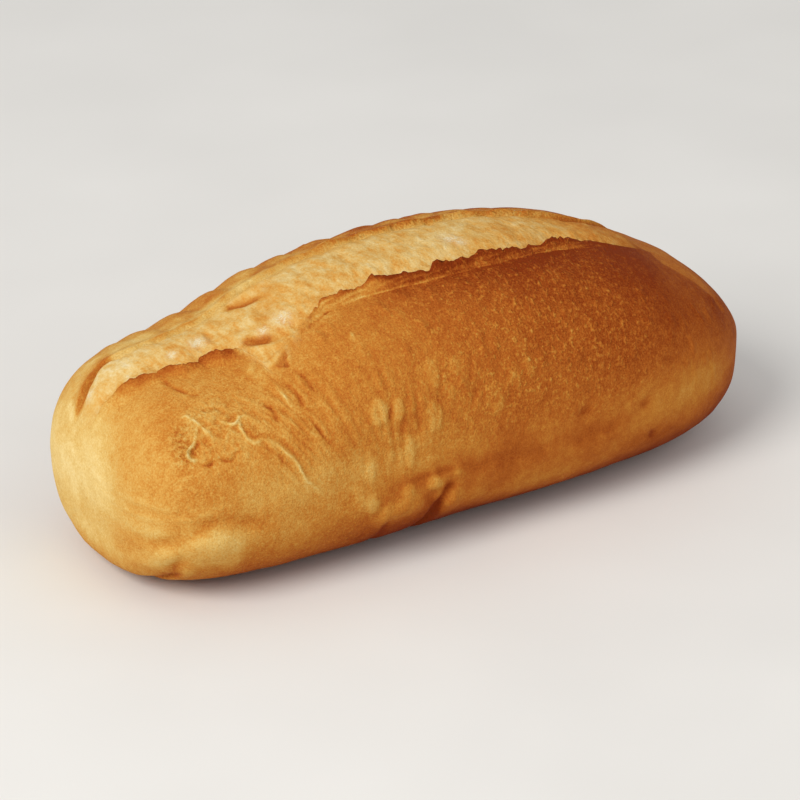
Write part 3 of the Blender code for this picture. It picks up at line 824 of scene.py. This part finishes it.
class Nodes:
    """Short calls that add shader nodes to one material."""

    def __init__(self, name):
        self.material = bpy.data.materials.new(name)
        self.material.use_nodes = True
        self.tree = self.material.node_tree
        self.shader = self.tree.nodes["Principled BSDF"]
        self.place = self.tree.nodes.new("ShaderNodeTexCoord").outputs["Object"]

    def link(self, source, target):
        self.tree.links.new(source, target)

    def attribute(self, name):
        node = self.tree.nodes.new("ShaderNodeAttribute")
        node.attribute_name = name
        return node.outputs["Fac"]

    def stretched(self, *scale):
        node = self.tree.nodes.new("ShaderNodeMapping")
        node.inputs["Scale"].default_value = scale
        self.link(self.place, node.inputs["Vector"])
        return node.outputs["Vector"]

    def noise(self, size, detail=2.0, roughness=0.5, place=None):
        node = self.tree.nodes.new("ShaderNodeTexNoise")
        node.inputs["Scale"].default_value = 1 / (size * MM)
        node.inputs["Detail"].default_value = detail
        node.inputs["Roughness"].default_value = roughness
        self.link(place or self.place, node.inputs["Vector"])
        return node.outputs["Fac"]

    def dots(self, size, edge, middle, least, place=None):
        """Round dots, one at most in each cell of this size, where its random number passes least."""
        cells = self.tree.nodes.new("ShaderNodeTexVoronoi")
        cells.inputs["Scale"].default_value = 1 / (size * MM)
        self.link(place or self.place, cells.inputs["Vector"])
        dot = self.spread(cells.outputs["Distance"], edge, middle)
        channels = self.tree.nodes.new("ShaderNodeSeparateColor")
        self.link(cells.outputs["Color"], channels.inputs["Color"])
        chosen = self.spread(channels.outputs["Red"], least, least + 0.3)
        return self.math("MULTIPLY", dot, chosen)

    def math(self, operation, first, second=0.0, third=None, clamp=False):
        node = self.tree.nodes.new("ShaderNodeMath")
        node.operation = operation
        node.use_clamp = clamp
        for socket, value in zip(node.inputs, (first, second, third)):
            if isinstance(value, bpy.types.NodeSocket):
                self.link(value, socket)
            elif value is not None:
                socket.default_value = value
        return node.outputs[0]

    def swing(self, *pattern):
        """Noise of about -1 to 1."""
        return self.math("MULTIPLY_ADD", self.noise(*pattern), 5.0, -2.5)

    def vary(self, value, amount, *pattern):
        """A value with noise of this amount added."""
        return self.math("MULTIPLY_ADD", self.swing(*pattern), amount, value)

    def spread(self, value, low, high, to_low=0.0, to_high=1.0):
        node = self.tree.nodes.new("ShaderNodeMapRange")
        node.interpolation_type = "SMOOTHSTEP"
        self.link(value, node.inputs["Value"])
        for name, number in (("From Min", low), ("From Max", high), ("To Min", to_low), ("To Max", to_high)):
            node.inputs[name].default_value = number
        return node.outputs["Result"]

    def ramp(self, value, stops):
        node = self.tree.nodes.new("ShaderNodeValToRGB")
        elements = node.color_ramp.elements
        while len(elements) < len(stops):
            elements.new(1.0)
        for element, (place, colour) in zip(elements, stops):
            element.position = place
            element.color = srgb(*colour)
        self.link(value, node.inputs["Fac"])
        return node.outputs["Color"]

    def colour(self, colour):
        node = self.tree.nodes.new("ShaderNodeRGB")
        node.outputs["Color"].default_value = srgb(*colour)
        return node.outputs["Color"]

    def mix(self, share, first, second):
        node = self.tree.nodes.new("ShaderNodeMix")
        node.data_type = "RGBA"
        self.link(share, node.inputs["Factor"])
        self.link(first, node.inputs["A"])
        self.link(second, node.inputs["B"])
        return node.outputs["Result"]

    def bump(self, height, distance, before=None):
        node = self.tree.nodes.new("ShaderNodeBump")
        node.inputs["Distance"].default_value = distance * MM
        self.link(height, node.inputs["Height"])
        if before is not None:
            self.link(before, node.inputs["Normal"])
        return node.outputs["Normal"]


def crust_colour(nodes, brown, grain, blisters_and_glints, cracks, speckle):
    grit = nodes.math("MULTIPLY", grain, nodes.math("MULTIPLY_ADD", speckle, 0.06, 0.075))
    shade = nodes.vary(brown, 0.045, 7.0, 3.0)
    shade = nodes.vary(shade, 0.04, 1.8, 2.0)
    shade = nodes.math("MULTIPLY_ADD", cracks, 0.2, nodes.math("ADD", shade, grit))
    # Paler on the blisters: partly paler blister skin, partly painted highlight on their tips
    shade = nodes.math("MULTIPLY_ADD", blisters_and_glints, -0.125, nodes.math("ADD", shade, 0.06), clamp=True)
    return nodes.ramp(shade, CRUST_RAMP)


def crumb_colour(nodes, brown, torn, upright):
    blotches = nodes.math("MULTIPLY_ADD", brown, -1.0, 0.84)
    blotches = nodes.vary(blotches, 0.12, 5.0, 2.0, 0.5, torn)
    blotches = nodes.vary(blotches, 0.20, 1.4, 2.0, 0.5, torn)
    blotches = nodes.vary(blotches, 0.13, 0.5, 2.0, 0.6, upright)
    grains = nodes.spread(nodes.noise(0.7, 3.0, 0.75), 0.42, 0.58, 0.25, 1.0)
    whitish = nodes.math("MULTIPLY", nodes.attribute("floury"), grains)
    return nodes.mix(whitish, nodes.ramp(blotches, CRUMB_RAMP), nodes.colour(FLOURY_COLOUR))


def bread_material():
    nodes = Nodes("baked_bread")
    brown, crumb = nodes.attribute("browning_and_shade"), nodes.attribute("crumb")
    speckle, craze = nodes.attribute("speckle"), nodes.attribute("craze")
    upright = nodes.stretched(1.0, 0.85, 0.85)
    torn = nodes.stretched(1.0, 0.5, 0.5)

    grain = nodes.swing(0.4, 3.0, 0.75)
    cracks = nodes.math("MULTIPLY", nodes.swing(0.9, 3.0, 0.7), craze)
    dots = nodes.dots(1.2, 0.5, 0.1, 0.35, upright)
    blobs = nodes.spread(nodes.noise(0.9, 1.0, 0.4, upright), 0.52, 0.70)
    specks = nodes.spread(nodes.noise(0.45, 1.0, 0.4, upright), 0.54, 0.70)
    strength = nodes.math("MULTIPLY", nodes.spread(brown, 0.3, 0.8, 0.35, 1.0), speckle)
    # Blister pattern, for the bump and for the painted highlight on blister tips
    blisters_and_glints = nodes.math("MULTIPLY_ADD", blobs, 0.9, nodes.math("MULTIPLY_ADD", specks, 0.5, dots))
    blisters_and_glints = nodes.math("MULTIPLY", blisters_and_glints, strength)

    crust = crust_colour(nodes, brown, grain, blisters_and_glints, cracks, speckle)
    colour = nodes.mix(crumb, crust, crumb_colour(nodes, brown, torn, upright))
    nodes.link(colour, nodes.shader.inputs["Base Color"])

    roughness = nodes.math("MULTIPLY_ADD", grain, 0.06, 0.72)
    roughness = nodes.math("MULTIPLY_ADD", crumb, 0.15, roughness, clamp=True)
    nodes.link(roughness, nodes.shader.inputs["Roughness"])
    nodes.shader.inputs["Specular IOR Level"].default_value = 0.06
    nodes.shader.inputs["Specular Tint"].default_value = (1.0, 0.72, 0.42, 1.0)

    fine = nodes.bump(nodes.noise(0.4, 3.0, 0.65), 0.2)
    pimples = nodes.bump(nodes.math("MULTIPLY_ADD", cracks, -1.6, blisters_and_glints), 0.1, fine)
    texture = nodes.bump(nodes.noise(1.4, 3.0, 0.6, torn), 0.2, pimples)
    nodes.link(texture, nodes.shader.inputs["Normal"])
    return nodes.material


def make_loaf():
    loaf = bpy.data.objects.new("baked_loaf", loaf_mesh())
    bpy.context.scene.collection.objects.link(loaf)
    loaf.data.materials.append(bread_material())
    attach(loaf, "root")
    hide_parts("loaf")


# Studio -------------------------------------------------------------------------------------------


def floor_material():
    nodes = Nodes("pale_floor")
    tint = nodes.ramp(nodes.noise(60.0, 2.0), ((0.3, (226, 224, 220)), (0.7, (231, 229, 225))))
    nodes.link(tint, nodes.shader.inputs["Base Color"])
    nodes.shader.inputs["Roughness"].default_value = 0.8
    return nodes.material


def make_floor():
    size = FLOOR_HALF_SIZE
    corners = [(-size, -size, 0), (size, -size, 0), (size, size, 0), (-size, size, 0)]
    mesh = bpy.data.meshes.new("floor")
    mesh.from_pydata(corners, [], [(0, 1, 2, 3)])
    mesh.materials.append(floor_material())
    floor = bpy.data.objects.new("floor", mesh)
    bpy.context.scene.collection.objects.link(floor)


def direction(azimuth, elevation):
    """Unit vector from the loaf towards a place at this azimuth, 0 at the front and 90 at the +X end."""
    turn, tilt = math.radians(azimuth), math.radians(elevation)
    return Vector((math.sin(turn) * math.cos(tilt), -math.cos(turn) * math.cos(tilt), math.sin(tilt)))


def make_light(name, azimuth, elevation, distance, size, power, colour):
    light = bpy.data.lights.new(name, "AREA")
    light.shape = "DISK"
    light.size = size
    light.energy = power
    light.color = colour
    lamp = bpy.data.objects.new(name, light)
    place = direction(azimuth, elevation) * distance
    lamp.matrix_world = Matrix.Translation(place) @ (-place).to_track_quat("-Z", "Y").to_matrix().to_4x4()
    bpy.context.scene.collection.objects.link(lamp)


def make_world():
    world = bpy.data.worlds.new("studio")
    world.use_nodes = True
    background = world.node_tree.nodes["Background"]
    background.inputs["Color"].default_value = (1.0, 1.0, 1.0, 1.0)
    background.inputs["Strength"].default_value = WORLD_STRENGTH
    bpy.context.scene.world = world


def make_camera():
    camera = bpy.data.cameras.new("camera")
    camera.lens = CAMERA_LENS
    camera.sensor_width = SENSOR_WIDTH
    camera.clip_end = CAMERA_REACH
    tilt = Euler((math.radians(90 - CAMERA_ELEVATION), 0, math.radians(CAMERA_AZIMUTH))).to_matrix()
    roll = Euler((0, 0, math.radians(-CAMERA_ROLL))).to_matrix()
    turned = (tilt @ roll).to_4x4()
    view = turned @ Vector((0, 0, 1))
    holder = bpy.data.objects.new("camera", camera)
    holder.matrix_world = Matrix.Translation(Vector(CAMERA_AIM) + view * CAMERA_DISTANCE) @ turned
    bpy.context.scene.collection.objects.link(holder)
    bpy.context.scene.camera = holder


def main():
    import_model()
    bpy.context.scene.view_settings.view_transform = "Standard"
    make_loaf()
    make_floor()
    for light in LIGHTS:
        make_light(*light)
    make_world()
    make_camera()


main()
